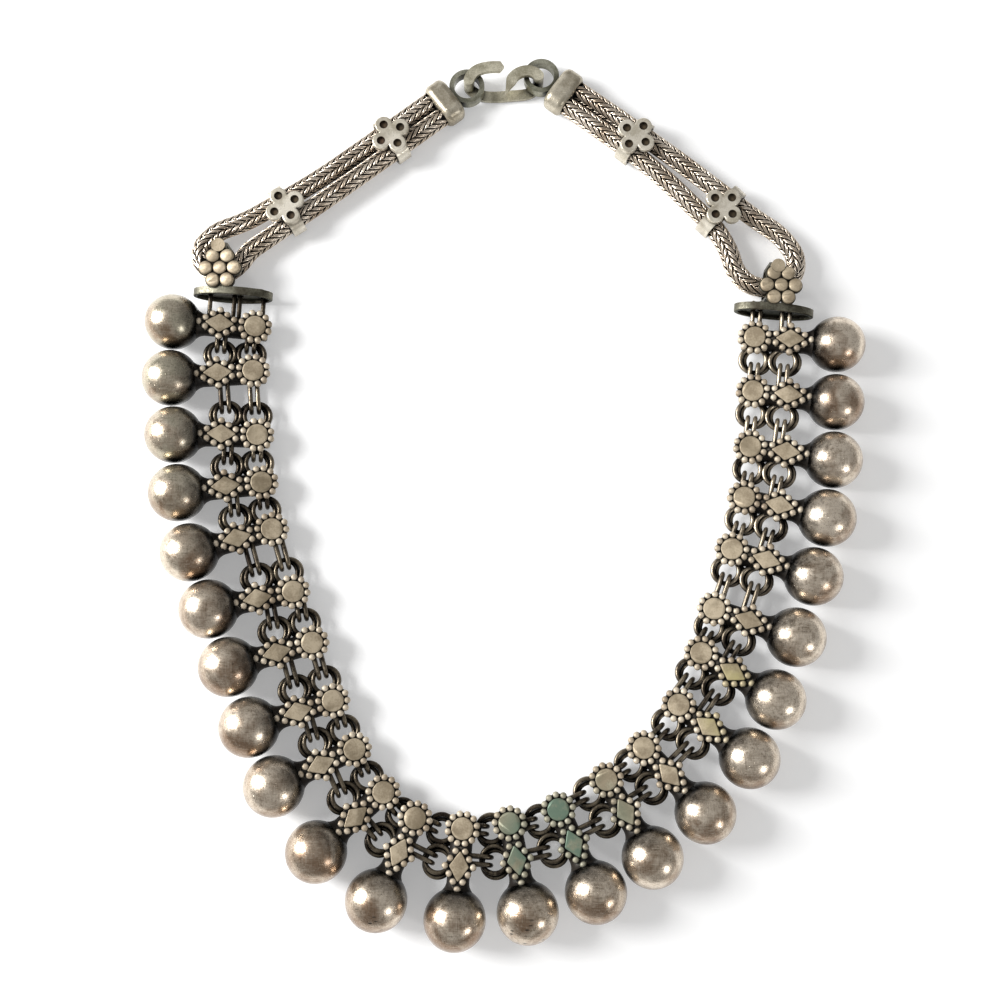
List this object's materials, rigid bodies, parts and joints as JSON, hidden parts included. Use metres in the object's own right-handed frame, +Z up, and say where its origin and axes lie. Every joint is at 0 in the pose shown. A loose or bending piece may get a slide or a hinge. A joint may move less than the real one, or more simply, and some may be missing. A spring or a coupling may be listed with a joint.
{
  "type": "tribal necklace",
  "caption": "Old-silver choker of ball-ended bars with disc and lozenge fronts, hooked side by side and closed by doubled woven chains, flower slides and an S-hook.",
  "frame": {"origin": "on the table under the necklace, in the middle of the neck opening", "axes": "+Y across the opening to the S-hook, +Z up from the table through the opening, +X to the side that ends in the right terminal, seen from above"},
  "size_m": [0.1586, 0.1961, 0.013],
  "materials": {
    "bar_silver": "satin old silver with darkened recesses",
    "fitting_silver": "worn satin old silver",
    "chain_silver": "silver wire with blackened gaps"
  },
  "bodies": {
    "root": {"bar_01": "bar_silver", "bar_02": "bar_silver", "bar_03": "bar_silver", "bar_04": "bar_silver", "bar_05": "bar_silver", "bar_06": "bar_silver", "bar_07": "bar_silver", "bar_08": "bar_silver", "bar_09": "bar_silver", "bar_10": "bar_silver", "bar_11": "bar_silver", "bar_12": "bar_silver", "bar_13": "bar_silver", "bar_14": "bar_silver", "bar_15": "bar_silver", "bar_16": "bar_silver", "bar_17": "bar_silver", "bar_18": "bar_silver", "bar_19": "bar_silver", "bar_20": "bar_silver", "bar_21": "bar_silver", "bar_22": "bar_silver", "bar_23": "bar_silver", "bar_24": "bar_silver", "terminal_left": "fitting_silver", "terminal_right": "fitting_silver", "slide_left_upper": "fitting_silver", "slide_left_lower": "fitting_silver", "slide_right_upper": "fitting_silver", "slide_right_lower": "fitting_silver", "collar_left": "fitting_silver", "collar_right": "fitting_silver", "s_hook": "fitting_silver", "chain_left": "chain_silver", "chain_right": "chain_silver"}
  },
  "joints": []
}
